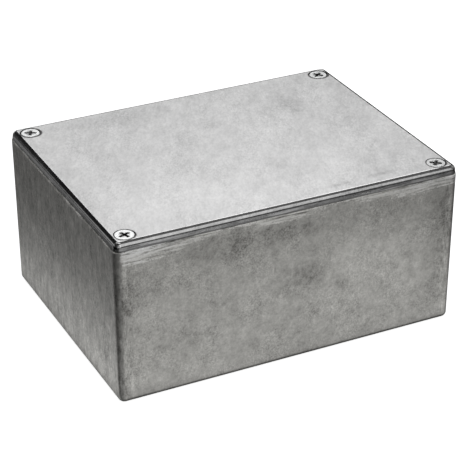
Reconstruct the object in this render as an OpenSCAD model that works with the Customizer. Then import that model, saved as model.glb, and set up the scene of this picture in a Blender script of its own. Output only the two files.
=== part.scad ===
// Die-cast aluminium enclosure: a deep base with drafted walls, a lid that lies
// on its rim, and four countersunk screws that hold the lid at its corners.
// Length runs along X, the front faces -Y, and the origin is the middle of the underside.

/* [Box] */
// Outside length of the base at its rim
box_length = 120; // [90:1:200]
// Outside width of the base at its rim
box_width = 90; // [70:1:160]
// Outside height with the lid on
box_height = 56.5; // [36:0.5:90]
// Radius of the upright corners at the rim
corner_radius = 2.5; // [2:0.1:4]
// Radius of the edge round the underside
bottom_edge_radius = 1.8; // [0.6:0.1:2.4]
// Draft of the outside walls, in degrees
wall_draft = 0.4; // [0.1:0.1:0.8]
// Chamfer that breaks the two edges at the seam
seam_chamfer = 0.25; // [0.1:0.05:0.6]

/* [Inside] */
// Thickness of the walls at the rim
wall_thickness = 2.6; // [2:0.1:3.4]
// Thickness of the floor
floor_thickness = 2.5; // [1.5:0.1:5]
// Draft of the inside walls, in degrees
core_draft = 1; // [0.5:0.1:1.5]
// Radius of the inside corners at the rim
core_radius = 3.4; // [2.8:0.1:5]
// Radius where the floor meets the walls
floor_fillet = 2; // [0.5:0.1:2.4]

/* [Card guides] */
// Slot between the two ribs of a guide
guide_slot = 2; // [1.2:0.1:3.2]
// Thickness of a rib
rib_thickness = 1.6; // [1:0.1:3]
// How far a rib stands out from its wall
rib_reach = 2; // [1:0.1:3.5]
// Distance from one guide to the next
guide_pitch = 25; // [15:1:40]

/* [Lid] */
// Height of the lid's side above the seam
lid_side_height = 2.9; // [2.6:0.1:5]
// Thickness of the lid inside its lip
lid_panel_thickness = 2.3; // [1.6:0.1:2.5]
// Radius of the lid's top edge
lid_edge_radius = 1.7; // [0.3:0.1:1.8]
// Slope of the lid's side, in degrees
lid_side_slope = 7; // [1:0.5:10]
// How far the lid's side sits back from the base's wall
lid_setback = 0.2; // [0.05:0.05:0.5]
// Depth of the lip that drops inside the rim
lip_depth = 2.5; // [1.5:0.1:4]
// Thickness of the lip
lip_thickness = 1.8; // [1:0.1:3]
// Gap between the lip and the base
lip_clearance = 0.4; // [0.2:0.05:0.8]

/* [Screws] */
// Distance from the outside walls to a screw's axis
screw_inset = 5.5; // [5:0.1:7]
// Diameter of the screw's thread
screw_diameter = 3.5; // [3:0.1:4]
// Length of a screw from the top of its head
screw_length = 14; // [10:0.5:20]
// Diameter of the head
head_diameter = 6.3; // [5.8:0.1:7]
// Height of the straight rim of the head
head_rim = 0.35; // [0.2:0.05:0.5]
// How far the head sits below the top of the lid
head_sink = 0.1; // [0.05:0.05:0.2]
// Gap round the head in its countersink
head_clearance = 0.15; // [0.1:0.05:0.4]
// Gap round the thread in the lid
shank_clearance = 0.3; // [0.15:0.05:0.5]
// Gap round the thread in the base
thread_clearance = 0.1; // [0.05:0.05:0.2]
// Depth of the threaded hole past the screw's tip
hole_spare_depth = 3; // [1:0.5:6]
// Chamfer at the mouth of the threaded hole
mouth_chamfer = 0.4; // [0.2:0.1:0.8]
// Chamfer at the screw's tip
tip_chamfer = 0.5; // [0.2:0.1:1]
// Chamfer round the top of the head
head_chamfer = 0.15; // [0.05:0.05:0.15]
// Radius of the corner boss round a screw
boss_radius = 4; // [3.4:0.1:5]
// Width across the cross recess
recess_span = 4; // [3:0.1:4.6]
// Width of a wing of the recess
recess_wing = 1; // [0.6:0.1:1.2]
// Depth of the recess
recess_depth = 1.7; // [1:0.1:2]
// Turn at which each screw came to rest: front left, front right, back left, back right
screw_turns = [20, 50, 64, 35]; // [0:1:90]

/* [Ejector marks] */
// Diameter of the round marks that the ejector pins leave
mark_diameter = 5; // [3:0.5:8]
// Depth of those marks
mark_depth = 0.2; // [0.1:0.05:0.4]
// Distance of the marks from the middle along the length
mark_x = 30; // [20:1:36]
// Distance of the marks from the middle along the width
mark_y = 18; // [12:1:24]

/* [Hidden] */
$fn = 64;
SIDES = ["front_left", "front_right", "back_left", "back_right"];

// Height of the base's rim, where the lid lies
rim_height = box_height - lid_side_height;
// Inside size of the base at its rim
core_length = box_length - 2 * wall_thickness;
core_width = box_width - 2 * wall_thickness;
// Depth of the inside
core_depth = rim_height - floor_thickness;
// Places of the screws along X and Y
screw_x = box_length / 2 - screw_inset;
screw_y = box_width / 2 - screw_inset;
// Top of the screw heads
head_top = box_height - head_sink;
// Height of the cone under a head
head_cone = (head_diameter - screw_diameter) / 2;
// Sizes of the countersunk hole in the lid
countersink_radius = head_diameter / 2 + head_clearance;
shank_hole_radius = screw_diameter / 2 + shank_clearance;
// Threaded hole in a boss
thread_hole_radius = screw_diameter / 2 + thread_clearance;
thread_hole_floor = head_top - screw_length - hole_spare_depth;
// Inside of the lip
lip_inner_length = core_length - 2 * (lip_clearance + lip_thickness);
lip_inner_width = core_width - 2 * (lip_clearance + lip_thickness);
// Round pad of full thickness that the lid keeps above a boss
pad_radius = boss_radius + lip_thickness;
// Room along the walls between the bosses
between_bosses_x = 2 * (screw_x - boss_radius);
between_bosses_y = 2 * (screw_y - boss_radius);
// Ribs end below the lip
rib_gap = 1;
rib_top = rim_height - lip_depth - rib_gap;
// Overlap that carries a cut past the surface it opens
past = 1;

// How far a drafted wall leans in over a height
function lean(height, draft) = height * tan(draft);

// Places of a row of guides that fits a room
function guide_places(room) =
    let (count = floor((room - 2 * rib_thickness - guide_slot) / guide_pitch) + 1)
    [for (i = [0 : count - 1]) (i - (count - 1) / 2) * guide_pitch];

// Section of a drafted wall with a rounded foot and a chamfered rim, from a corner's axis outwards
module wall_section(height, radius, draft, edge, chamfer) {
    foot = radius - lean(height, draft);
    round_r = min(edge, 0.9 * foot);
    axis = foot + round_r * (tan(draft) - 1 / cos(draft));
    touch = [axis + round_r * cos(draft), round_r * (1 - sin(draft))];
    shoulder = [radius - lean(chamfer, draft), height - chamfer];
    polygon([
        [0, 0],
        [axis, 0],
        [axis, round_r],
        touch,
        shoulder,
        [radius - chamfer, height],
        [0, height]
    ]);
    intersection() {
        translate([axis, round_r])
            circle(round_r);
        polygon([[axis, round_r], [axis, -round_r], [radius + round_r, -round_r], touch]);
    }
}

// Block that narrows downwards, with round upright corners, a rounded foot and a chamfered rim
module drafted_block(length, width, height, radius, draft, edge, chamfer = 0) {
    run_x = length - 2 * radius;
    run_y = width - 2 * radius;
    translate([-run_x / 2, -run_y / 2, 0])
        cube([run_x, run_y, height]);
    for (turn = [0, 180])
        rotate(turn) {
            translate([run_x / 2, run_y / 2, 0])
                rotate([90, 0, 0])
                    linear_extrude(run_y)
                        wall_section(height, radius, draft, edge, chamfer);
            rotate(90)
                translate([run_y / 2, run_x / 2, 0])
                    rotate([90, 0, 0])
                        linear_extrude(run_x)
                            wall_section(height, radius, draft, edge, chamfer);
            translate([run_x / 2, run_y / 2, 0])
                rotate_extrude(angle = 90)
                    wall_section(height, radius, draft, edge, chamfer);
            rotate(90)
                translate([run_y / 2, run_x / 2, 0])
                    rotate_extrude(angle = 90)
                        wall_section(height, radius, draft, edge, chamfer);
        }
}

// Copies at the four screw axes, turned so that +X +Y points to the corner
module at_screws() {
    for (sx = [0, 1], sy = [0, 1])
        mirror([sx, 0, 0])
            mirror([0, sy, 0])
                translate([screw_x, screw_y, 0])
                    children();
}

// Corner boss: a square block with its inner edge rounded about the screw axis
module boss() {
    reach = screw_inset - wall_thickness / 2;
    translate([0, 0, floor_thickness / 2])
        linear_extrude(rim_height - floor_thickness / 2) {
            circle(boss_radius);
            translate([0, -boss_radius])
                square([reach, boss_radius + reach]);
            translate([-boss_radius, 0])
                square([boss_radius + reach, reach]);
        }
}

// One rib with a sloped top, standing on a wall whose rim lies at x = 0
module rib() {
    foot_lean = lean(core_depth, core_draft);
    top_lean = lean(rim_height - rib_top, core_draft);
    root = wall_thickness / 2;
    rotate([90, 0, 0])
        linear_extrude(rib_thickness, center = true)
            polygon([
                [root, floor_thickness / 2],
                [-foot_lean - rib_reach, floor_thickness / 2],
                [-top_lean - rib_reach, rib_top - rib_reach],
                [-top_lean, rib_top],
                [root, rib_top]
            ]);
}

// Row of guides on the wall at +X of a core of this length
module guide_row(length, room) {
    for (place = guide_places(room), side = [-1, 1])
        translate([length / 2, place + side * (guide_slot + rib_thickness) / 2, 0])
            rib();
}

// Round cutters for the marks on an inner face, standing up from a height
module ejector_marks(height) {
    for (x = [-mark_x, mark_x], y = [-mark_y, mark_y])
        translate([x, y, height])
            cylinder(h = past, d = mark_diameter);
}

// One side of the lip, on the wall at +X of a core of this length
module lip_bar(length, room) {
    outer = length / 2 - lip_clearance;
    bevel = lip_clearance;
    translate([0, room / 2 - lip_clearance, rim_height])
        rotate([90, 0, 0])
            linear_extrude(room - 2 * lip_clearance)
                polygon([
                    [outer, lid_side_height / 2],
                    [outer, bevel - lip_depth],
                    [outer - bevel, -lip_depth],
                    [outer - lip_thickness, -lip_depth],
                    [outer - lip_thickness, lid_side_height / 2]
                ]);
}

// Blind hole for a screw's thread, with a chamfered mouth at the rim
module threaded_hole() {
    translate([0, 0, thread_hole_floor])
        cylinder(h = rim_height - thread_hole_floor + past, r = thread_hole_radius);
    translate([0, 0, rim_height - mouth_chamfer])
        cylinder(h = mouth_chamfer + past, r1 = thread_hole_radius,
                 r2 = thread_hole_radius + mouth_chamfer + past);
}

// Base: one casting with its bosses and guides
module base() {
    color("#8a8a87")
        difference() {
            union() {
                difference() {
                    drafted_block(box_length, box_width, rim_height,
                                  corner_radius, wall_draft, bottom_edge_radius, seam_chamfer);
                    translate([0, 0, floor_thickness])
                        drafted_block(core_length, core_width, core_depth,
                                      core_radius, core_draft, floor_fillet);
                }
                at_screws()
                    boss();
                for (turn = [0, 180])
                    rotate(turn) {
                        guide_row(core_length, between_bosses_y);
                        rotate(90)
                            guide_row(core_width, between_bosses_x);
                    }
            }
            at_screws()
                threaded_hole();
            ejector_marks(floor_thickness - mark_depth);
        }
}

// Countersunk hole of the lid, down from its top face
module lid_screw_hole() {
    rim_floor = head_top - head_rim;
    cone = countersink_radius - shank_hole_radius;
    translate([0, 0, rim_floor])
        cylinder(h = head_rim + head_sink + past, r = countersink_radius);
    translate([0, 0, rim_floor - cone])
        cylinder(h = cone, r1 = shank_hole_radius, r2 = countersink_radius);
    translate([0, 0, rim_height - past])
        cylinder(h = rim_floor - cone - rim_height + past, r = shank_hole_radius);
}

// Lid: one casting with a rounded top edge, a lip and countersunk holes
module lid() {
    panel_floor = box_height - lid_panel_thickness;
    color("#b4b4b1")
        difference() {
            union() {
                translate([0, 0, box_height])
                    mirror([0, 0, 1])
                        drafted_block(box_length - 2 * lid_setback, box_width - 2 * lid_setback,
                                      lid_side_height, corner_radius - lid_setback,
                                      lid_side_slope, lid_edge_radius, seam_chamfer);
                for (turn = [0, 180])
                    rotate(turn) {
                        lip_bar(core_length, between_bosses_y);
                        rotate(90)
                            lip_bar(core_width, between_bosses_x);
                    }
            }
            translate([0, 0, rim_height - past])
                linear_extrude(panel_floor - rim_height + past)
                    difference() {
                        square([lip_inner_length, lip_inner_width], center = true);
                        at_screws()
                            circle(pad_radius);
                    }
            at_screws()
                lid_screw_hole();
            ejector_marks(panel_floor + mark_depth - past);
        }
}

// Cross recess in a head whose top lies at z = 0
module cross_recess() {
    intersection() {
        union() {
            translate([-recess_span / 2, -recess_wing / 2, -recess_depth])
                cube([recess_span, recess_wing, recess_depth + past]);
            translate([-recess_wing / 2, -recess_span / 2, -recess_depth])
                cube([recess_wing, recess_span, recess_depth + past]);
        }
        translate([0, 0, -recess_depth])
            cylinder(h = recess_depth + past, r1 = recess_wing * 0.6,
                     r2 = recess_span / 2 + past);
    }
}

// Countersunk screw with a cross recess
module screw() {
    color("#cfcfcc")
        difference() {
            rotate_extrude()
                polygon([
                    [0, 0],
                    [head_diameter / 2 - head_chamfer, 0],
                    [head_diameter / 2, -head_chamfer],
                    [head_diameter / 2, -head_rim],
                    [screw_diameter / 2, -head_rim - head_cone],
                    [screw_diameter / 2, tip_chamfer - screw_length],
                    [screw_diameter / 2 - tip_chamfer, -screw_length],
                    [0, -screw_length]
                ]);
            cross_recess();
        }
}

// Screw at a named corner
module screw_at(side) {
    index = search([side], SIDES)[0];
    translate([screw_x * (2 * (index % 2) - 1), screw_y * (2 * floor(index / 2) - 1), head_top])
        rotate(screw_turns[index])
            screw();
}

base();
lid();
for (side = SIDES)
    screw_at(side);
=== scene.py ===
# %% [markdown]
# # A die-cast aluminium box
# The box is two castings and four screws. Molten aluminium is forced into a steel
# mould, so the walls lean a little, every edge is slightly round, and the skin is
# dull and cloudy. This lesson dresses the solids of the box, lights them like a
# product photograph and sets the camera.

# %% Load the frame
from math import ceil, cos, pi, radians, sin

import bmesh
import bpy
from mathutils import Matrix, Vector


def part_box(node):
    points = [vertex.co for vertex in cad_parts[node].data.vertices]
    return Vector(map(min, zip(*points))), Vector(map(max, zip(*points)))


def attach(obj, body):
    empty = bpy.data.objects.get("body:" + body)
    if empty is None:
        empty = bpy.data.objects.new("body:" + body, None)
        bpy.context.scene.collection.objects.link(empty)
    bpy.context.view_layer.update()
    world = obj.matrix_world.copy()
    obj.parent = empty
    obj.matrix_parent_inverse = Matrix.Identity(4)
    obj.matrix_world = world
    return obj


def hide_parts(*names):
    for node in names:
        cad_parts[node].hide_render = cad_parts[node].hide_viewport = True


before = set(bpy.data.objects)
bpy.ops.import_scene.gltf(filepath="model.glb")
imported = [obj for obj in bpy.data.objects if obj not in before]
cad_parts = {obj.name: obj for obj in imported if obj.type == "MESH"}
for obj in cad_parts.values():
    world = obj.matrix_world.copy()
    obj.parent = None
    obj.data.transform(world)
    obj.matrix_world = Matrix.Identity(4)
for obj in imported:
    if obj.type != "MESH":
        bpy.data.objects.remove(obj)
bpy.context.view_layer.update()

# %% [markdown]
# ## Sizes
# The finish is placed by the sizes of the castings and the screws. They could be typed in,
# but here they are measured from the frame's solids, so that a change in the drawing moves
# the finish with it. Blender counts in metres.

MM = 0.001

base_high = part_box("base")[1]
RIM = base_high.z
HALF_LENGTH = base_high.x
HALF_WIDTH = base_high.y
LID_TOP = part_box("lid")[1].z
screw_low, screw_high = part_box("screw_back_right")
HEAD_TOP = screw_high.z
HEAD_RADIUS = (screw_high.x - screw_low.x) / 2
SCREW_X = (screw_high.x + screw_low.x) / 2
SCREW_Y = (screw_high.y + screw_low.y) / 2
print("rim at", round(RIM / MM, 2), "mm, top at", round(LID_TOP / MM, 2), "mm")
print("screws at", round(SCREW_X / MM, 2), round(SCREW_Y / MM, 2), "mm from the middle")

# %% [markdown]
# ## Merging the castings
# The frame's solids arrive as loose triangles. A copy with its doubled corners merged
# can be shaded smoothly and have its edges broken. A real casting has no sharp edge
# anywhere, because molten metal doesn't fill a knife-sharp corner, so a narrow Bevel
# modifier rounds what the drawing leaves sharp. A Weighted Normal modifier then keeps
# the large flat faces flat, which matters on metal: a bent normal shows as a bent
# reflection.

# %% Helpers that merge, finish and place a copy of a solid
SHARP_ANGLE = radians(28)
FLAT_ANGLE = radians(0.05)
SAME_POINT = 0.001 * MM
EDGE_STEPS = 2


def shade(bm):
    """Smooth faces, parted by sharp edges where the surface turns quickly."""
    for face in bm.faces:
        face.smooth = True
    for edge in bm.edges:
        edge.smooth = len(edge.link_faces) == 2 and edge.calc_face_angle(0) < SHARP_ANGLE


def merged_bmesh(node):
    """A bmesh of a frame node with doubled corners merged and flat areas joined."""
    bm = bmesh.new()
    bm.from_mesh(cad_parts[node].data)
    bmesh.ops.remove_doubles(bm, verts=bm.verts, dist=SAME_POINT)
    bmesh.ops.dissolve_limit(bm, angle_limit=FLAT_ANGLE, verts=bm.verts, edges=bm.edges)
    return bm


def add_piece(name, bm, material, body, node):
    """Makes a finished piece that stands for a frame node and rides on a body."""
    shade(bm)
    open_edges = sum(1 for edge in bm.edges if len(edge.link_faces) != 2)
    mesh = bpy.data.meshes.new(name)
    bm.to_mesh(mesh)
    bm.free()
    mesh.materials.clear()
    mesh.materials.append(material)
    piece = bpy.data.objects.new(name, mesh)
    bpy.context.scene.collection.objects.link(piece)
    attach(piece, body)
    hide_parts(node)
    print(name, "has", len(mesh.polygons), "faces and", open_edges, "open edges")
    return piece


def keep_flat(piece):
    """Lets the large flat faces decide the normals along their rounded edges."""
    weighted = piece.modifiers.new("flat_faces", "WEIGHTED_NORMAL")
    weighted.keep_sharp = True


def soften(piece, width):
    """Breaks the sharp edges of a piece and keeps its flat faces flat."""
    bevel = piece.modifiers.new("broken_edges", "BEVEL")
    bevel.width = width
    bevel.segments = EDGE_STEPS
    bevel.limit_method = "ANGLE"
    bevel.angle_limit = SHARP_ANGLE
    bevel.miter_outer = "MITER_ARC"
    keep_flat(piece)


# %% [markdown]
# ## Shader helpers
# A material is a tree of nodes. A few small helpers keep its making readable: one sets
# or links a socket, one adds a node with its inputs, and each of the others adds one
# common kind of node, such as a step of arithmetic, a smooth ramp, noise of a stated size
# or a mix of two colours.

# %% Helpers that wire and calculate


def wire(socket, value):
    """Links a socket to another node's output, or sets it to a plain value."""
    if isinstance(value, bpy.types.NodeSocket):
        socket.id_data.links.new(value, socket)
    else:
        socket.default_value = value


def add_node(tree, kind, inputs=(), **settings):
    """Adds a node, applies its settings and wires its inputs."""
    made = tree.nodes.new(kind)
    for name, value in settings.items():
        setattr(made, name, value)
    for key, value in dict(inputs).items():
        wire(made.inputs[key], value)
    return made


def calc(tree, operation, *values, clamp=False):
    """One arithmetic step on values or sockets."""
    made = add_node(tree, "ShaderNodeMath", enumerate(values), operation=operation)
    made.use_clamp = clamp
    return made.outputs[0]


def chain(tree, operation, values):
    """The same arithmetic step from value to value, such as the product of them all."""
    result = values[0]
    for value in values[1:]:
        result = calc(tree, operation, result, value)
    return result


def vector_calc(tree, operation, *values):
    """One step on vectors, whose outputs are named Vector and Value."""
    return add_node(tree, "ShaderNodeVectorMath", enumerate(values), operation=operation).outputs


def axes(tree, vector):
    """The X, Y and Z of a vector as three sockets."""
    return add_node(tree, "ShaderNodeSeparateXYZ", {0: vector}).outputs


def ramp(tree, value, low, high, to_low=0.0, to_high=1.0):
    """Maps a value smoothly from one range to another, and holds it there."""
    made = add_node(
        tree,
        "ShaderNodeMapRange",
        {0: value, 1: low, 2: high, 3: to_low, 4: to_high},
        interpolation_type="SMOOTHSTEP",
    )
    return made.outputs[0]


# %% Helpers for patterns, colours and groups


def noise(tree, vector, size, detail=2.0, roughness=0.5, distortion=0.0):
    """Cloudy noise around zero, whose largest blobs are about this size in metres."""
    made = add_node(
        tree,
        "ShaderNodeTexNoise",
        {
            "Vector": vector,
            "Scale": 1 / size,
            "Detail": detail,
            "Roughness": roughness,
            "Distortion": distortion,
        },
    )
    return calc(tree, "SUBTRACT", made.outputs[0], 0.5)


def stretch(tree, vector, lengths, turn=0.0):
    """Coordinates that make a pattern longer along axes turned about Z by an angle."""
    made = add_node(
        tree,
        "ShaderNodeMapping",
        {"Vector": vector, "Rotation": (0, 0, turn), "Scale": lengths},
        vector_type="TEXTURE",
    )
    return made.outputs[0]


def mix_colours(tree, share, first, second):
    """A colour that goes from the first to the second as the share goes from 0 to 1."""
    inputs = {"Factor": share, "A": first, "B": second}
    return add_node(tree, "ShaderNodeMix", inputs, data_type="RGBA").outputs["Result"]


def new_group(name, inputs, outputs):
    """A shader node group: inputs give each socket's kind, outputs are plain floats."""
    tree = bpy.data.node_groups.new(name, "ShaderNodeTree")
    for socket, kind in inputs.items():
        tree.interface.new_socket(socket, in_out="INPUT", socket_type="NodeSocket" + kind)
    for socket in outputs:
        tree.interface.new_socket(socket, in_out="OUTPUT", socket_type="NodeSocketFloat")
    source = tree.nodes.new("NodeGroupInput")
    sink = tree.nodes.new("NodeGroupOutput")
    return tree, source.outputs, sink.inputs


def use_group(tree, group, inputs):
    """Puts a node group into a tree, wires it and returns its outputs."""
    return add_node(tree, "ShaderNodeGroup", inputs, node_tree=group).outputs


# %% [markdown]
# ## The cast skin
# Both castings share one skin. Where the melt met the mould and froze first the metal is
# lighter, where the release agent lay it is darker, so the grey drifts in soft clouds
# with a leathery mottle in them, about as strong at half a millimetre as at five. That is
# what noise with a Roughness of 1 gives: every octave counts the same. The finest grain
# comes in patches, with smoother metal between them. On the end walls the mould left
# upright drag marks as it drew off, which are noise stretched along Z. A few dark specks
# are small pits. It could all be painted as an image, but noise in Object coordinates has
# no seams and no fixed resolution. The group puts out a tone, a change of gloss and a
# height.

# %% The cast skin as a node group
SKIN_AMOUNTS = ("Clouds", "Mottle", "Grain", "Drag", "Specks")
CLOUD_SIZE = 26 * MM
MOTTLE_SIZE = 5 * MM
PATCH_SIZE = 11 * MM
GRAIN_SIZE = 0.55 * MM
DRAG_SIZE = 1.4 * MM
DRAG_STRETCH = (1.5, 1.5, 6)
SPECK_SPACING = 5 * MM
SPECK_PATCH = 9 * MM


def make_cast_skin():
    """The skin's patterns, each by its own amount, as a tone, a gloss and a height."""
    tree, given, out = new_group(
        "cast_skin",
        {"Vector": "Vector", "Wiped": "Vector", **{amount: "Float" for amount in SKIN_AMOUNTS}},
        ["Tone", "Gloss", "Height"],
    )
    at = given["Vector"]
    wiped = given["Wiped"]
    clouds = noise(tree, wiped, CLOUD_SIZE, detail=1, distortion=0.4)
    mottle = noise(tree, wiped, MOTTLE_SIZE, detail=3, roughness=1.0)
    patchy = ramp(tree, noise(tree, wiped, PATCH_SIZE, detail=2), -0.13, 0.13, 0.45, 1.9)
    fine = noise(tree, wiped, GRAIN_SIZE, detail=1.5, roughness=0.8)
    grain = calc(tree, "MULTIPLY", fine, patchy)
    from_middle = calc(tree, "ABSOLUTE", axes(tree, at)["X"])
    end_wall = ramp(tree, from_middle, HALF_LENGTH - 9 * MM, HALF_LENGTH - 3 * MM)
    drawn = noise(tree, stretch(tree, at, DRAG_STRETCH), DRAG_SIZE, detail=3, roughness=1.0)
    drag = calc(tree, "MULTIPLY", drawn, end_wall)
    cells = add_node(tree, "ShaderNodeTexVoronoi", {"Vector": at, "Scale": 1 / SPECK_SPACING})
    pits = ramp(tree, cells.outputs["Distance"], 0.05, 0.10, 1.0, 0.0)
    scarce = ramp(tree, noise(tree, at, SPECK_PATCH), 0.02, 0.10)
    specks = calc(tree, "MULTIPLY", pits, scarce)
    tone = calc(tree, "MULTIPLY_ADD", clouds, given["Clouds"], 0.5)
    tone = calc(tree, "MULTIPLY_ADD", mottle, given["Mottle"], tone)
    tone = calc(tree, "MULTIPLY_ADD", grain, given["Grain"], tone)
    tone = calc(tree, "MULTIPLY_ADD", drag, given["Drag"], tone)
    tone = calc(tree, "SUBTRACT", tone, calc(tree, "MULTIPLY", specks, given["Specks"]))
    wire(out["Tone"], tone)
    wire(out["Gloss"], mottle)
    relief = calc(tree, "MULTIPLY_ADD", mottle, 2.0, grain)
    wire(out["Height"], calc(tree, "MULTIPLY_ADD", specks, -0.3, relief))
    return tree


CAST_SKIN = make_cast_skin()
print("group", CAST_SKIN.name, "has", len(CAST_SKIN.nodes), "nodes")

# %% [markdown]
# ## Stains
# Release agent and handling leave a few larger patches with ragged edges, most of them
# darker than the metal. Each is a soft ball in space, stretched to its own reach along the
# three axes, whose distance is roughened by noise, and finer noise breaks it into grains. A
# thin reach across a wall keeps a stain on one face of it.

# %% A stain as a node group
STAIN_EDGE = 6 * MM
STAIN_GRAIN = 1.3 * MM


def make_stain():
    """The mask of a stain, given its place and its reach along each axis."""
    inputs = {"Vector": "Vector", "Place": "Vector", "Reach": "Vector"}
    tree, given, out = new_group("stain", inputs, ["Mask"])
    at = given["Vector"]
    away = vector_calc(tree, "SUBTRACT", at, given["Place"])["Vector"]
    shares = vector_calc(tree, "DIVIDE", away, given["Reach"])["Vector"]
    distance = vector_calc(tree, "LENGTH", shares)["Value"]
    ragged = noise(tree, at, STAIN_EDGE, detail=4, roughness=0.8)
    edge = calc(tree, "MULTIPLY_ADD", ragged, 1.8, distance)
    soft = ramp(tree, edge, 0.0, 1.3, 1.0, 0.0)
    broken = noise(tree, at, STAIN_GRAIN, detail=2, roughness=0.8)
    grains = ramp(tree, broken, -0.12, 0.12, 0.6, 1.4)
    wire(out["Mask"], calc(tree, "MULTIPLY", soft, grains))
    return tree


STAIN = make_stain()
print("group", STAIN.name, "has", len(STAIN.nodes), "nodes")


def stain_mask(tree, where, place, reach):
    """Where one stain lies, from its place and reach in metres."""
    return use_group(tree, STAIN, {"Vector": where, "Place": place, "Reach": reach})["Mask"]


# %% [markdown]
# ## Trim marks at the seam
# After casting, the thin flash along the parting line is trimmed and rubbed off with a
# belt. That leaves a band of fine lines along the rim, in scallops where the belt bit
# deeper. The band is tallest at the left end and tall at the right end too, and there the
# lines are rubbed down to bright bare metal. The seam itself is darkened: painted shade,
# as under the lid's overhang, with some dirt. One group serves both castings: it takes the
# distance from the seam and puts out a ragged band, the lines in it, how much bare metal
# they show and the painted seam shade with its dirt.

# %% The trim marks as a node group
SCALLOP = 37 * MM
SCALLOP_PHASE = 0.34
TRIM_EDGE = 1.6 * MM
LINE_SIZE = 0.8 * MM
LINE_STRETCH = (24, 24, 1)
SCRATCH_SIZE = 0.9 * MM
SCRATCH_STRETCH = (5, 5, 1)


def make_trim_marks():
    """The marks at a distance from the seam, with a limit to how far they reach."""
    tree, given, out = new_group(
        "trim_marks",
        {"Vector": "Vector", "Distance": "Float", "Reach": "Float", "Limit": "Float"},
        ["Band", "Lines", "Bare", "Seam_shade_and_dirt"],
    )
    at = given["Vector"]
    distance = given["Distance"]
    along = axes(tree, at)["X"]
    phase = calc(tree, "MULTIPLY_ADD", along, 2 * pi / SCALLOP, SCALLOP_PHASE)
    scallops = calc(tree, "MULTIPLY_ADD", calc(tree, "COSINE", phase), 0.35, 0.4)
    left_end = ramp(tree, along, -0.9 * HALF_LENGTH, -0.5 * HALF_LENGTH, 1.3, 0.0)
    off_corner = ramp(tree, along, -HALF_LENGTH + 1 * MM, -HALF_LENGTH + 2.5 * MM)
    left_end = calc(tree, "MULTIPLY", left_end, off_corner)
    right_end = ramp(tree, along, 0.55 * HALF_LENGTH, 0.8 * HALF_LENGTH, 0.0, 0.85)
    ends = calc(tree, "ADD", left_end, right_end)
    ragged = noise(tree, stretch(tree, at, (3, 3, 1)), TRIM_EDGE, detail=4, roughness=1.0)
    share = calc(tree, "MULTIPLY_ADD", ragged, 2.6, calc(tree, "ADD", scallops, ends))
    reach = calc(tree, "MINIMUM", calc(tree, "MULTIPLY", share, given["Reach"]), given["Limit"])
    past = calc(tree, "SUBTRACT", distance, reach)
    band = ramp(tree, past, -0.5 * MM, 0.4 * MM, 1.0, 0.0)
    lines = noise(tree, stretch(tree, at, LINE_STRETCH), LINE_SIZE, detail=2, roughness=1.0)
    drawn = stretch(tree, at, SCRATCH_STRETCH)
    scratched = noise(tree, drawn, SCRATCH_SIZE, detail=3, roughness=1.0)
    close = calc(tree, "MULTIPLY", ramp(tree, distance, 0.4 * MM, 1.8 * MM, 0.22, 0.0), ends)
    worn = chain(tree, "ADD", [lines, scratched, close])
    at_ends = calc(tree, "MULTIPLY_ADD", ends, 0.5, 0.4, clamp=True)
    fresh = calc(tree, "MULTIPLY", ramp(tree, worn, -0.1, 0.25), at_ends)
    wire(out["Band"], band)
    wire(out["Lines"], lines)
    wire(out["Bare"], calc(tree, "MULTIPLY", band, fresh))
    # Painted shade along the seam, with some dirt, darkest at the seam itself.
    wire(out["Seam_shade_and_dirt"], ramp(tree, distance, 0.25 * MM, 0.7 * MM, 1.0, 0.0))
    return tree


TRIM_MARKS = make_trim_marks()
print("group", TRIM_MARKS.name, "has", len(TRIM_MARKS.nodes), "nodes")

# %% [markdown]
# ## The castings' metal
# Both castings are bare metal, so Metallic is 1 and the colour is the metal's own
# reflection. The tone from the skin mixes a dark and a light grey, its gloss moves the
# roughness a little, and its height feeds a Bump node. Stains change the tone where they
# lie. Trim marks change the tone, the gloss and the height, and mix in brighter metal where
# the belt rubbed the skin off. What differs between the two castings is given as values,
# so that one function makes both.

# %% Helpers that start and finish a metal


def new_material(name):
    """A material with its node tree and its Object coordinates."""
    material = bpy.data.materials.new(name)
    material.use_nodes = True
    tree = material.node_tree
    where = add_node(tree, "ShaderNodeTexCoord").outputs["Object"]
    return material, tree, where


def finish_metal(tree, colour, roughness, height, relief, strength):
    """Feeds the shader as bare metal, with a relief of a height in metres."""
    bump_inputs = {"Strength": strength, "Distance": relief, "Height": height}
    bump = add_node(tree, "ShaderNodeBump", bump_inputs)
    shader = tree.nodes["Principled BSDF"]
    wire(shader.inputs["Metallic"], 1.0)
    wire(shader.inputs["Base Color"], colour)
    wire(shader.inputs["Roughness"], roughness)
    wire(shader.inputs["Normal"], bump.outputs["Normal"])


# %% A maker of cast metals
WIPE_DIRECTION = radians(64)
GLOSS_DRIFT = 0.15
CAST_BUMP = 0.4
BARE_METAL = (0.93, 0.93, 0.92, 1)


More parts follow.
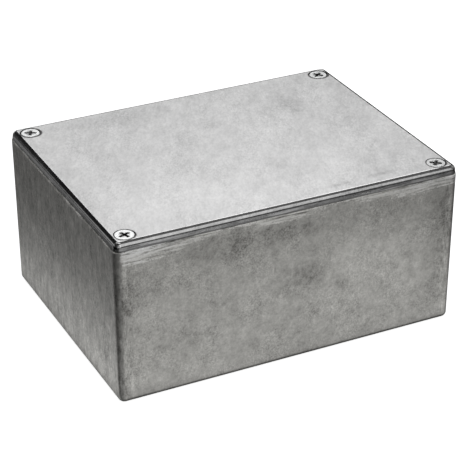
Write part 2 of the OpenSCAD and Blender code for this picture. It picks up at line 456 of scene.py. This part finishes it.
def cast_metal(name, dark, light, roughness, skin, wiped, relief, stains, seam_side, trim):
    """Cast aluminium between two greys. Returns it with its place, colour and gloss sockets."""
    material, tree, where = new_material(name)
    drawn_out = stretch(tree, where, (wiped, 1, 1), WIPE_DIRECTION)
    cast = use_group(tree, CAST_SKIN, {"Vector": where, "Wiped": drawn_out, **skin})
    tone = cast["Tone"]
    for place, reach, change in stains:
        mask = stain_mask(tree, where, Vector(place) * MM, Vector(reach) * MM)
        tone = calc(tree, "MULTIPLY_ADD", mask, change, tone)
    above_seam = calc(tree, "SUBTRACT", axes(tree, where)["Z"], RIM)
    seam = {
        "Vector": where,
        "Distance": calc(tree, "MULTIPLY", above_seam, seam_side),
        "Reach": trim["reach"],
        "Limit": trim["limit"],
    }
    marks = use_group(tree, TRIM_MARKS, seam)
    lines = calc(tree, "MULTIPLY_ADD", marks["Lines"], trim["contrast"], trim["tone"])
    tone = calc(tree, "MULTIPLY_ADD", lines, marks["Band"], tone)
    # The painted seam shade and its dirt darken the tone.
    tone = calc(tree, "MULTIPLY_ADD", marks["Seam_shade_and_dirt"], -trim["shade_and_dirt"], tone, clamp=True)
    bare = calc(tree, "MULTIPLY", marks["Bare"], trim["bare"])
    grey = mix_colours(tree, tone, (*dark, 1), (*light, 1))
    colour = mix_colours(tree, bare, grey, BARE_METAL)
    gloss = calc(tree, "MULTIPLY_ADD", cast["Gloss"], GLOSS_DRIFT, roughness)
    gloss = calc(tree, "MULTIPLY_ADD", marks["Band"], trim["dulling"], gloss)
    scored = calc(tree, "MULTIPLY", marks["Lines"], marks["Band"])
    height = calc(tree, "ADD", cast["Height"], scored)
    finish_metal(tree, colour, gloss, height, relief, CAST_BUMP)
    print(name, "has", len(tree.nodes), "nodes and", len(stains), "stains")
    return material, where, colour, gloss


# %% [markdown]
# ### The base
# The base is the duller casting, warm grey, with dark and light stains on its front wall.
# The belt's lines under its rim show bare metal, and little of the painted seam shade
# and its dirt is on it.

# %% Metal of the base


def on_front(x, z, wide, tall, change):
    """A stain on the front wall: its middle and reach in millimetres, and its tone."""
    return (x, -HALF_WIDTH / MM, z), (wide, 2, tall), change


BASE_CAST = cast_metal(
    "base_cast",
    dark=(0.17, 0.167, 0.157),
    light=(0.74, 0.732, 0.70),
    roughness=0.40,
    skin={"Clouds": 0.25, "Mottle": 1.0, "Grain": 0.55, "Drag": 1.5, "Specks": 0.2},
    wiped=1.0,
    relief=0.03 * MM,
    stains=[
        on_front(5, 29, 9, 7, -0.24),
        on_front(18, 23, 3, 3.5, -0.22),
        on_front(54, 34, 6, 26, -0.18),
        on_front(-57, 30, 5, 20, -0.11),
        on_front(-22, 47, 16, 6, -0.2),
        on_front(0, 47.5, 14, 5, -0.17),
        on_front(28, 46, 12, 6, -0.1),
        on_front(-36, 16, 12, 6, -0.1),
        on_front(-50, 29, 7, 2, 0.1),
        on_front(33, 29, 28, 16, 0.14),
        on_front(-50, 41, 9, 7, -0.07),
    ],
    seam_side=-1,
    trim={
        "reach": 3.2 * MM,
        "limit": 5 * MM,
        "tone": 0.3,
        "contrast": 3.0,
        "dulling": 0.08,
        "bare": 1.0,
        "shade_and_dirt": 0.1,
    },
)[0]

# %% [markdown]
# ### The lid
# The lid is the smoother and lighter casting. Its mottle is drawn out to twice its length,
# as by wiping. Its low side is streaked by the belt and mottled by stains, but shows no bare
# metal, and most of the painted seam shade, with some dirt, lies along its lower edge.

# %% Metal of the lid


def on_top(x, y, wide, deep, change):
    """A stain on the top of the lid: its middle and reach in millimetres, and its tone."""
    return (x, y, LID_TOP / MM), (wide, deep, 2), change


def on_lid_front(x, up, wide, deep, change):
    """A stain on the front side of the lid, some way up from the seam, in millimetres."""
    return (x, -HALF_WIDTH / MM, RIM / MM + up), (wide, deep, 1.6), change


LID_CAST, lid_where, lid_colour, lid_gloss = cast_metal(
    "lid_cast",
    dark=(0.33, 0.33, 0.332),
    light=(0.83, 0.828, 0.827),
    roughness=0.34,
    skin={"Clouds": 0.35, "Mottle": 1.05, "Grain": 0.4, "Drag": 0.0, "Specks": 0.2},
    wiped=2.0,
    relief=0.014 * MM,
    stains=[
        on_top(33, 22, 9, 9, -0.16),
        on_top(46, 29, 12, 4, -0.08),
        on_top(45, 6, 13, 24, -0.07),
        on_top(-25, 37, 16, 6, -0.12),
        on_top(-58, 5, 6, 35, -0.08),
        on_top(2, 18, 6, 4, -0.12),
        on_top(-4, 0, 6, 2, -0.12),
        on_top(8, -17, 4, 7, -0.14),
        on_top(16, -28, 3, 6, -0.1),
        on_top(18, -39.5, 6, 1.3, -0.25),
        on_top(34, -38.5, 6, 1.3, -0.22),
        on_top(-22, -26, 24, 10, 0.08),
        on_lid_front(-25, 1, 14, 3, -0.3),
        on_lid_front(-48, 1, 9, 3, 0.2),
        on_lid_front(-4, 0.8, 18, 2, -0.35),
        on_lid_front(22, 2.2, 30, 1.3, -0.3),
    ],
    seam_side=1,
    trim={
        "reach": 2.6 * MM,
        "limit": 1.4 * MM,
        "tone": 0.05,
        "contrast": 6.5,
        "dulling": 0.25,
        "bare": 0.0,
        "shade_and_dirt": 0.9,
    },
)

# %% [markdown]
# ### Handling, painted shade and painted reflections on the lid
# The lid's rounded edge is rubbed smooth by handling, so reflections are sharper there.
# A line of painted shade lies round each screw head, where the gap to its countersink is,
# wider in front of the head and round the two heads at the back. A dark patch at the near
# corner and one at the right corner are painted dark reflections. Masks add all this to
# the shared metal: one from the depth under the top face, one from the distance to the
# nearest screw's axis, and a stain-shaped patch at each of the two corners.

# %% Handling, painted shade and painted reflections
HANDLED_GLOSS = -0.23
# Near-black painted into the colour, for the shade round the heads and the dark reflections at
# two corners.
PAINTED_BLACK = (0.03, 0.03, 0.03, 1)
# Painted dark reflections: a dark patch at the near corner of the lid and one at the right
# corner.
NEAR_DARK_REFLECTION = (-HALF_LENGTH + 0.7 * MM, -HALF_WIDTH + 1.3 * MM, RIM + 1.7 * MM)
RIGHT_DARK_REFLECTION = (HALF_LENGTH - 0.4 * MM, -HALF_WIDTH + 1.2 * MM, RIM + 2.6 * MM)
DARK_REFLECTION_CORNERS = [
    (NEAR_DARK_REFLECTION, (1.5 * MM, 1.5 * MM, 2.2 * MM)),
    (RIGHT_DARK_REFLECTION, (2.8 * MM, 2.8 * MM, 4.5 * MM)),
]


def from_nearest(tree, value, distance):
    """How far a place lies past the nearer of two places on both sides of the middle."""
    nearest = calc(tree, "MULTIPLY", calc(tree, "SIGN", value), distance)
    return calc(tree, "SUBTRACT", value, nearest)


def around_screw(tree, where):
    """How far a place is from the nearest screw's axis, and how far behind that axis."""
    place = axes(tree, where)
    aside = from_nearest(tree, place["X"], SCREW_X)
    behind = from_nearest(tree, place["Y"], SCREW_Y)
    squares = calc(tree, "MULTIPLY_ADD", aside, aside, calc(tree, "MULTIPLY", behind, behind))
    return {"distance": calc(tree, "SQRT", squares), "behind": behind}


def head_gap_shade(tree, where):
    """A ragged line of painted shade round each screw head, where the gap to its countersink
    lies.
    """
    screw = around_screw(tree, where)
    ragged = noise(tree, where, 1.2 * MM, detail=2)
    from_head = calc(tree, "SUBTRACT", screw["distance"], HEAD_RADIUS)
    from_head = calc(tree, "MULTIPLY_ADD", ragged, 0.3 * MM, from_head)
    wide_in_front = ramp(tree, screw["behind"], -HEAD_RADIUS, HEAD_RADIUS, -0.28 * MM, 0.3 * MM)
    wide_at_back = ramp(tree, axes(tree, where)["Y"], 0, SCREW_Y, 0.0, -0.3 * MM)
    uneven = calc(tree, "ADD", wide_in_front, wide_at_back)
    return ramp(tree, calc(tree, "ADD", from_head, uneven), 0.2 * MM, 0.5 * MM, 0.92, 0.0)


lid_tree = LID_CAST.node_tree
lid_depth = calc(lid_tree, "SUBTRACT", LID_TOP, axes(lid_tree, lid_where)["Z"])
handled = ramp(lid_tree, lid_depth, 0.002 * MM, 0.02 * MM, 0.0, HANDLED_GLOSS)
painted_darkening = head_gap_shade(lid_tree, lid_where)
for place, reach in DARK_REFLECTION_CORNERS:
    patch = stain_mask(lid_tree, lid_where, place, reach)
    painted_darkening = calc(lid_tree, "MAXIMUM", painted_darkening, patch, clamp=True)
lid_shader = lid_tree.nodes["Principled BSDF"]
# The painted shade round the heads and the painted dark reflections at the corners pull the
# colour towards black.
wire(lid_shader.inputs["Base Color"], mix_colours(lid_tree, painted_darkening, lid_colour, PAINTED_BLACK))
wire(lid_shader.inputs["Roughness"], calc(lid_tree, "ADD", lid_gloss, handled))
print("with handling and painted_shade", LID_CAST.name, "has", len(lid_tree.nodes), "nodes")

# %% [markdown]
# ### The castings as pieces
# Each casting is a merged copy of its solid with its metal on it. Its sharp edges are
# broken by about a tenth of a millimetre, which is enough to catch a line of light.

# %% The two castings
BROKEN_EDGE = 0.12 * MM
base = add_piece("base_casting", merged_bmesh("base"), BASE_CAST, "base", "base")
soften(base, BROKEN_EDGE)
lid = add_piece("lid_casting", merged_bmesh("lid"), LID_CAST, "lid", "lid")
soften(lid, BROKEN_EDGE)

# %% [markdown]
# ## The screws
# The screws are steel with bright zinc plate over it. The flat of the head is scuffed by
# the driver, the cross recess is darkened by painted shade with some dirt in it, and dirt
# is smeared round it. The front right head has turned duller than the others. As on the
# castings, noise makes the bloom of the plate and masks place the painted shade and the
# dirt, so one material serves all four screws.

# %% Zinc plate
PLATE_DARK = (0.12, 0.12, 0.12, 1)
PLATE_LIGHT = (0.93, 0.94, 0.94, 1)
BRIGHT_PLATE = 0.75
DULL_PLATE = 0.52
SCUFF_DIRECTION = radians(35)
PLATE_BUMP = 0.3
PLATE_RELIEF = 0.01 * MM


def recess_shade_and_dirt(tree, depth, to_axis):
    """Where the cross recess is: near the axis, and sunk under the flat of the head."""
    # The mask of the painted shade, with some dirt, in the recess.
    inside = ramp(tree, to_axis, 2.05 * MM, 2.2 * MM, 1.0, 0.0)
    sunk = ramp(tree, depth, 0.05 * MM, 0.3 * MM)
    above_end = ramp(tree, depth, 1.7 * MM, 1.8 * MM, 1.0, 0.0)
    return chain(tree, "MULTIPLY", [inside, sunk, above_end])


def plated_metal(name):
    """Bright zinc plate with bloom, scuffs and dirt round the axis of the nearest screw."""
    material, tree, where = new_material(name)
    place = axes(tree, where)
    depth = calc(tree, "SUBTRACT", HEAD_TOP, place["Z"])
    to_axis = around_screw(tree, where)["distance"]
    bloom = noise(tree, where, 1.6 * MM, detail=4, roughness=0.8)
    scuff_place = stretch(tree, where, (6, 1, 1), SCUFF_DIRECTION)
    scuffs = noise(tree, scuff_place, 0.25 * MM, detail=2)
    to_right_front = calc(tree, "SUBTRACT", place["X"], place["Y"])
    other_screws = SCREW_X - SCREW_Y
    dull_screw = SCREW_X + SCREW_Y
    plate = ramp(tree, to_right_front, other_screws, dull_screw, BRIGHT_PLATE, DULL_PLATE)
    tone = calc(tree, "MULTIPLY_ADD", scuffs, 0.8, plate)
    tone = calc(tree, "ADD", bloom, tone)
    smudges = ramp(tree, noise(tree, where, 0.8 * MM, detail=2, roughness=0.8), -0.12, 0.08)
    near_recess = ramp(tree, to_axis, 1.3 * MM, 2.2 * MM, 0.6, 0.0)
    tone = calc(tree, "SUBTRACT", tone, calc(tree, "MULTIPLY", smudges, near_recess))
    # Painted shade, with some dirt, darkens the cross recess.
    shade_and_dirt = recess_shade_and_dirt(tree, depth, to_axis)
    tone = calc(tree, "MULTIPLY_ADD", shade_and_dirt, -0.65, tone, clamp=True)
    colour = mix_colours(tree, tone, PLATE_DARK, PLATE_LIGHT)
    roughness = calc(tree, "MULTIPLY_ADD", bloom, 0.3, 0.26)
    finish_metal(tree, colour, roughness, scuffs, PLATE_RELIEF, PLATE_BUMP)
    return material


ZINC = plated_metal("zinc_plate")
print(ZINC.name, "has", len(ZINC.node_tree.nodes), "nodes")

# %% [markdown]
# ### The thread
# A real thread is cut or rolled round the shank. It could be drawn as a bump, but the
# screws lift out and show their outline, so here it is a spin: one pitch of the outline
# turns about the axis and climbs a little at each step, which is what a lathe does. Both
# ends are then cut flat.

# %% A threaded shank
THREAD_RADIUS = 1.75 * MM
THREAD_PITCH = 0.6 * MM
THREAD_DEPTH = 0.37 * MM
TURN_STEPS = 24
CREST_START = 0.4
CREST_END = 0.52
ROOT_START = 0.92


def cut_flat(bm, height, side):
    """Cuts off what lies above (side 1) or below (side -1) a height."""
    bmesh.ops.bisect_plane(
        bm,
        geom=bm.verts[:] + bm.edges[:] + bm.faces[:],
        dist=SAME_POINT / 10,
        plane_co=(0, 0, height),
        plane_no=(0, 0, side),
        clear_outer=True,
    )


def threaded_shank(axis, top, tip):
    """A right-handed thread about an upright axis, open at both flat ends."""
    bm = bmesh.new()
    root = THREAD_RADIUS - THREAD_DEPTH
    outline = [
        (root, 0),
        (THREAD_RADIUS, CREST_START),
        (THREAD_RADIUS, CREST_END),
        (root, ROOT_START),
        (root, 1),
    ]
    start = tip - 2 * THREAD_PITCH
    turns = ceil((top - start) / THREAD_PITCH) + 1
    points = []
    for radius, part in outline:
        points.append(bm.verts.new((axis.x + radius, axis.y, start + part * THREAD_PITCH)))
    lines = [bm.edges.new(pair) for pair in zip(points, points[1:])]
    bmesh.ops.spin(
        bm,
        geom=points + lines,
        cent=axis,
        axis=(0, 0, 1),
        dvec=(0, 0, THREAD_PITCH / TURN_STEPS),
        angle=2 * pi * turns,
        steps=turns * TURN_STEPS,
        use_merge=False,
    )
    bmesh.ops.remove_doubles(bm, verts=bm.verts, dist=SAME_POINT)
    cut_flat(bm, top, 1)
    cut_flat(bm, tip, -1)
    return bm


# %% [markdown]
# ### A whole screw
# The head is a copy of the frame's solid, cut off under its cone, with its edges broken.
# The top of the thread is bridged to it, and the tip is drawn in and closed, so that the
# screw is one skin without a gap.

# %% Head, thread and tip joined
HEAD_HEIGHT = 1.75 * MM
HEAD_EDGE = 0.08 * MM
NECK = 0.5 * MM
TIP_LENGTH = 0.5 * MM
TIP_SHARE = 0.8


def open_loop(bm, height):
    """The open edges that lie at one height."""
    return [
        edge
        for edge in bm.edges
        if edge.is_boundary and all(abs(vert.co.z - height) < SAME_POINT for vert in edge.verts)
    ]


def screw_head(node, neck):
    """The head of a frame's screw, cut off at its neck, with its sharp edges broken."""
    bm = merged_bmesh(node)
    cut_flat(bm, neck, -1)
    inner = [edge for edge in bm.edges if not edge.is_boundary]
    bmesh.ops.bevel(
        bm,
        geom=[edge for edge in inner if edge.calc_face_angle(0) > SHARP_ANGLE],
        offset=HEAD_EDGE,
        affect="EDGES",
        segments=EDGE_STEPS,
        profile=0.5,
        material=-1,
        clamp_overlap=True,
    )
    return bm


def close_tip(bm, axis, height, end):
    """Draws the open lower end of a shank in towards its axis and closes it."""
    tip = bmesh.ops.extrude_edge_only(bm, edges=open_loop(bm, height))["geom"]
    verts = [item for item in tip if isinstance(item, bmesh.types.BMVert)]
    share = (TIP_SHARE, TIP_SHARE, 1)
    bmesh.ops.scale(bm, vec=share, verts=verts, space=Matrix.Translation(-axis))
    bmesh.ops.translate(bm, vec=(0, 0, -TIP_LENGTH), verts=verts)
    bmesh.ops.edgeloop_fill(bm, edges=open_loop(bm, end))


def threaded_screw(node):
    """The head of a frame's screw, bridged to a threaded shank with a drawn-in tip."""
    low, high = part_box(node)
    axis = Vector(((low.x + high.x) / 2, (low.y + high.y) / 2, 0))
    neck = high.z - HEAD_HEIGHT - NECK
    thread_top = neck - THREAD_PITCH / 2
    thread_tip = low.z + TIP_LENGTH
    bm = screw_head(node, neck)
    shank = threaded_shank(axis, thread_top, thread_tip)
    joined = bpy.data.meshes.new("shank")
    shank.to_mesh(joined)
    shank.free()
    bm.from_mesh(joined)
    bpy.data.meshes.remove(joined)
    bmesh.ops.bridge_loops(bm, edges=open_loop(bm, neck) + open_loop(bm, thread_top))
    close_tip(bm, axis, thread_tip, low.z)
    bmesh.ops.recalc_face_normals(bm, faces=bm.faces)
    return bm


SCREWS = [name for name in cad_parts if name.startswith("screw_")]
for name in SCREWS:
    screw = add_piece(name + "_plated", threaded_screw(name), ZINC, name, name)
    keep_flat(screw)

# %% [markdown]
# ## The studio
# Metal shows what stands round it more than what shines on it, so the studio is planned
# by what each face mirrors. The walls mirror the floor near the box. The floor is white
# paper for the camera, and for mirrored rays it is a painted pool of light, a glow that
# fades towards the dim left side of the studio and away from the box, which gives the
# walls their slow shading. Next to the box the glow is dark, a painted contact shadow as in
# the gap under a rounded edge. Dark wedges painted into the glow, pointing away from the
# near and right corners, stand in for the black and grey cards a photographer of metal
# sets up, and draw a dark line down each of these rounded corners to part two bright faces.

# %% What the walls mirror on the floor
POOL_LIGHT = 0.70
NEAR_CORNER = (-HALF_LENGTH, -HALF_WIDTH, 0)
RIGHT_CORNER = (HALF_LENGTH, -HALF_WIDTH, 0)
# Dark wedges painted into the floor's glow, standing in for black and grey cards.
DARK_WEDGES = [
    (NEAR_CORNER, radians(160), radians(28), 0.04),
    (NEAR_CORNER, radians(225), radians(62), 0.42),
    (RIGHT_CORNER, radians(35), radians(75), 0.36),
]


def painted_wedge_shade(tree, where, corner, heading, spread, level):
    """Fades to a level within an angle of a heading, seen from a corner of the box."""
    away = vector_calc(tree, "SUBTRACT", where, corner)["Vector"]
    unit = vector_calc(tree, "NORMALIZE", away)["Vector"]
    along = (cos(heading), sin(heading), 0)
    facing = vector_calc(tree, "DOT_PRODUCT", unit, along)["Value"]
    return ramp(tree, facing, cos(spread), cos(spread / 2), 1.0, level)


def pool_of_light(tree, where):
    """The light of the mirrored floor, as a product of fades over its places."""
    place = axes(tree, where)
    out_x = calc(tree, "SUBTRACT", calc(tree, "ABSOLUTE", place["X"]), HALF_LENGTH)
    out_y = calc(tree, "SUBTRACT", calc(tree, "ABSOLUTE", place["Y"]), HALF_WIDTH)
    out = calc(tree, "MAXIMUM", out_x, out_y)
    leftwards = calc(tree, "MULTIPLY_ADD", place["X"], -1, -HALF_LENGTH)
    backwards = calc(tree, "ADD", place["Y"], HALF_WIDTH)
    dim_side = calc(tree, "MULTIPLY_ADD", backwards, 0.24, leftwards)
    near_left = ramp(tree, dim_side, -5 * MM, 72 * MM, 1.2, 0.125)
    far_left = ramp(tree, dim_side, 88 * MM, 118 * MM, 0.0, 0.48)
    left = calc(tree, "MAXIMUM", near_left, far_left)
    past_left_wall = ramp(tree, leftwards, -10 * MM, 0, 0.84, 1.0)
    right = ramp(tree, place["X"], HALF_LENGTH, HALF_LENGTH + 110 * MM, 1.0, 0.25)
    front_and_back = ramp(tree, out_y, 25 * MM, 150 * MM, 1.0, 0.56)
    far = ramp(tree, out, 210 * MM, 340 * MM, 1.0, 0.12)
    # Painted contact shadow in the glow, right next to the box.
    under_edge = ramp(tree, out, -1 * MM, 3 * MM, 0.03, 1.0)
    sides = [left, past_left_wall, right, front_and_back, far, under_edge]
    # The painted wedges darken the glow towards the two corners.
    wedge_shades = [painted_wedge_shade(tree, where, *wedge) for wedge in DARK_WEDGES]
    return chain(tree, "MULTIPLY", [POOL_LIGHT, *sides, *wedge_shades])


# %% Floor
WHITE = (1, 1, 1, 1)
FLOOR_RADIUS = 4.0
PAPER_GRAIN = 3 * MM


def floor_material():
    """White paper to the camera, and the pool of light to what mirrors it."""
    material, tree, where = new_material("pale_floor")
    tree.nodes.remove(tree.nodes["Principled BSDF"])
    paper_tone = ramp(tree, noise(tree, where, PAPER_GRAIN, detail=2), -0.3, 0.3, 0.83, 0.87)
    paper = add_node(tree, "ShaderNodeBsdfDiffuse", {"Color": paper_tone})
    from_box = vector_calc(tree, "LENGTH", where)["Value"]
    lift = ramp(tree, from_box, 0.5, 1.5, 0.80, 0.99)
    glow = add_node(tree, "ShaderNodeEmission", {"Color": WHITE, "Strength": lift})
    seen = add_node(tree, "ShaderNodeAddShader", {0: paper.outputs[0], 1: glow.outputs[0]})
    pool = pool_of_light(tree, where)
    # The pool of light is painted as a glow that only mirrored rays see.
    mirrored = add_node(tree, "ShaderNodeEmission", {"Color": WHITE, "Strength": pool})
    glossy = add_node(tree, "ShaderNodeLightPath").outputs["Is Glossy Ray"]
    both = {0: glossy, 1: seen.outputs[0], 2: mirrored.outputs[0]}
    mix = add_node(tree, "ShaderNodeMixShader", both)
    wire(tree.nodes["Material Output"].inputs["Surface"], mix.outputs[0])
    return material


bm = bmesh.new()
bmesh.ops.create_circle(bm, cap_ends=True, segments=64, radius=FLOOR_RADIUS)
floor_mesh = bpy.data.meshes.new("floor")
bm.to_mesh(floor_mesh)
bm.free()
floor_mesh.materials.append(floor_material())
floor = bpy.data.objects.new("floor", floor_mesh)
bpy.context.scene.collection.objects.link(floor)
print("floor is", floor.dimensions.x, "m across")

# %% [markdown]
# ## The surround
# The camera sees a pale backdrop. Mirrored rays see grey walls on the left, on the right,
# in front and low at the back, and a bright part of the ceiling for views from above, with
# dark gaps between them. So the rounded edges of the lid turn nearly black where they look
# up past the lights. That black line is what makes the lid read as polished metal.

# %% World
PALE = 0.99
DARK = 0.015
LEFT_GREY = 0.55
RIGHT_GREY = 0.14
WALL_LIGHT = 0.62
CEILING_LIGHT = 0.95


def surround_light(tree, toward):
    """The light of the walls and the ceiling in a direction: X right, Y back, Z up."""
    dim_right = ramp(tree, toward["Y"], 0.5, 0.65, RIGHT_GREY, DARK)
    overhead = calc(tree, "MULTIPLY", ramp(tree, toward["X"], 0.15, 0.4), dim_right)
    left = ramp(tree, toward["X"], -0.61, -0.49, LEFT_GREY, 0.0)
    far_left = ramp(tree, toward["X"], -0.85, -0.65, WALL_LIGHT, 0.0)
    far_right = ramp(tree, toward["X"], 0.55, 0.68, 0.0, WALL_LIGHT)
    right = calc(tree, "MULTIPLY", far_right, ramp(tree, toward["Y"], 0.35, 0.5, 1.0, 0.0))
    not_right = ramp(tree, toward["X"], 0.05, 0.2, WALL_LIGHT, 0.0)
    front = calc(tree, "MULTIPLY", ramp(tree, toward["Y"], -0.6, -0.4, 1.0, 0.0), not_right)
    walls = chain(tree, "MAXIMUM", [left, far_left, right, front])
    walls = calc(tree, "MULTIPLY", walls, ramp(tree, toward["Z"], 0.75, 0.9, 1.0, 0.0))
    back_parts = [
        ramp(tree, toward["Y"], 0.86, 0.93),
        ramp(tree, toward["Z"], 0.28, 0.42, WALL_LIGHT, 0.0),
        ramp(tree, toward["X"], 0.08, 0.26, 1.0, 0.0),
    ]
    back = chain(tree, "MULTIPLY", back_parts)
    ceiling_parts = [
        ramp(tree, toward["Z"], 0.65, 0.75, 0.0, CEILING_LIGHT),
        ramp(tree, toward["X"], 0.0, 0.18, 1.0, 0.0),
        ramp(tree, toward["Y"], 0.05, 0.3),
    ]
    ceiling = chain(tree, "MULTIPLY", ceiling_parts)
    return chain(tree, "MAXIMUM", [overhead, DARK, walls, back, ceiling])


def make_world():
    """A pale backdrop to the camera, and the surround to every other ray."""
    world = bpy.data.worlds.new("studio")
    bpy.context.scene.world = world
    world.use_nodes = True
    tree = world.node_tree
    toward = axes(tree, add_node(tree, "ShaderNodeTexCoord").outputs["Generated"])
    surround = tree.nodes["Background"]
    wire(surround.inputs["Color"], WHITE)
    wire(surround.inputs["Strength"], surround_light(tree, toward))
    pale = add_node(tree, "ShaderNodeBackground", {"Color": WHITE, "Strength": PALE})
    direct = add_node(tree, "ShaderNodeLightPath").outputs["Is Camera Ray"]
    both = {0: direct, 1: surround.outputs[0], 2: pale.outputs[0]}
    mix = add_node(tree, "ShaderNodeMixShader", both)
    wire(tree.nodes["World Output"].inputs["Surface"], mix.outputs[0])
    print("surround from", DARK, "to", CEILING_LIGHT)


make_world()

# %% [markdown]
# ## The lights
# The softbox behind the box is what the lid's flat top mirrors to the camera, and its
# edges lie just outside that reflection. A brighter strip above it draws a thin light line
# where the lid's edge begins to round. The softbox in front makes the bright band along
# the lid's front edge. The one overhead lights the inside and serves views from above.

# %% Softboxes


def direction(azimuth, elevation):
    """Unit vector towards a compass place: azimuth 0 is straight behind, 90 is to the right."""
    turn = radians(azimuth)
    rise = radians(elevation)
    return Vector((sin(turn) * cos(rise), cos(turn) * cos(rise), sin(rise)))


def softbox(name, towards, distance, width, height, radiance):
    """A rectangular light that faces the box and isn't seen by the camera."""
    lamp = bpy.data.lights.new(name, "AREA")
    lamp.shape = "RECTANGLE"
    lamp.size = width
    lamp.size_y = height
    lamp.energy = radiance * pi * width * height
    holder = bpy.data.objects.new(name, lamp)
    place = Vector((0, 0, LID_TOP)) + distance * towards
    turned = towards.to_track_quat("Z", "Y").to_matrix().to_4x4()
    holder.matrix_world = Matrix.Translation(place) @ turned
    holder.visible_camera = False
    bpy.context.scene.collection.objects.link(holder)
    print(name, "radiance", radiance)


softbox("back_softbox", direction(26.5, 29), distance=2.5, width=1.4, height=0.60, radiance=1.52)
softbox("strip_light", direction(28.5, 41.5), distance=2.5, width=1.1, height=0.46, radiance=2.3)
softbox("front_softbox", direction(163, 38), distance=1.5, width=1.15, height=1.4, radiance=0.72)
softbox("top_softbox", direction(0, 90), distance=1.5, width=0.7, height=0.7, radiance=1.0)

# %% [markdown]
# ## The camera
# The camera looks down on the near left corner, from about 0.6 m, with a lens whose
# perspective fits the edges of the lid. Its place is given by an azimuth, an elevation
# and a distance round a point near the middle of the box. Lens and sensor are in
# millimetres, as on a real camera.

# %% Camera
VIEW_AZIMUTH = radians(-26.36)
VIEW_ELEVATION = radians(28.59)
VIEW_DISTANCE = 615.56 * MM
AIM_RIGHT = 1.58 * MM
AIM_UP = 21.03 * MM
LENS_LENGTH = 137.96
SENSOR_WIDTH = 36
NEAREST_SEEN = 0.01

back = Vector(
    (
        sin(VIEW_AZIMUTH) * cos(VIEW_ELEVATION),
        -cos(VIEW_AZIMUTH) * cos(VIEW_ELEVATION),
        sin(VIEW_ELEVATION),
    )
)
right = Vector((cos(VIEW_AZIMUTH), sin(VIEW_AZIMUTH), 0))
up = back.cross(right)
lens = bpy.data.cameras.new("camera")
lens.lens = LENS_LENGTH
lens.sensor_width = SENSOR_WIDTH
lens.clip_start = NEAREST_SEEN
camera = bpy.data.objects.new("camera", lens)
camera_place = right * AIM_RIGHT + up * AIM_UP + back * VIEW_DISTANCE
camera_turn = Matrix((right, up, back)).transposed().to_4x4()
camera.matrix_world = Matrix.Translation(camera_place) @ camera_turn
bpy.context.scene.collection.objects.link(camera)
bpy.context.scene.camera = camera
bpy.context.scene.view_settings.view_transform = "Standard"
print("camera at", [round(value, 4) for value in camera.matrix_world.translation])
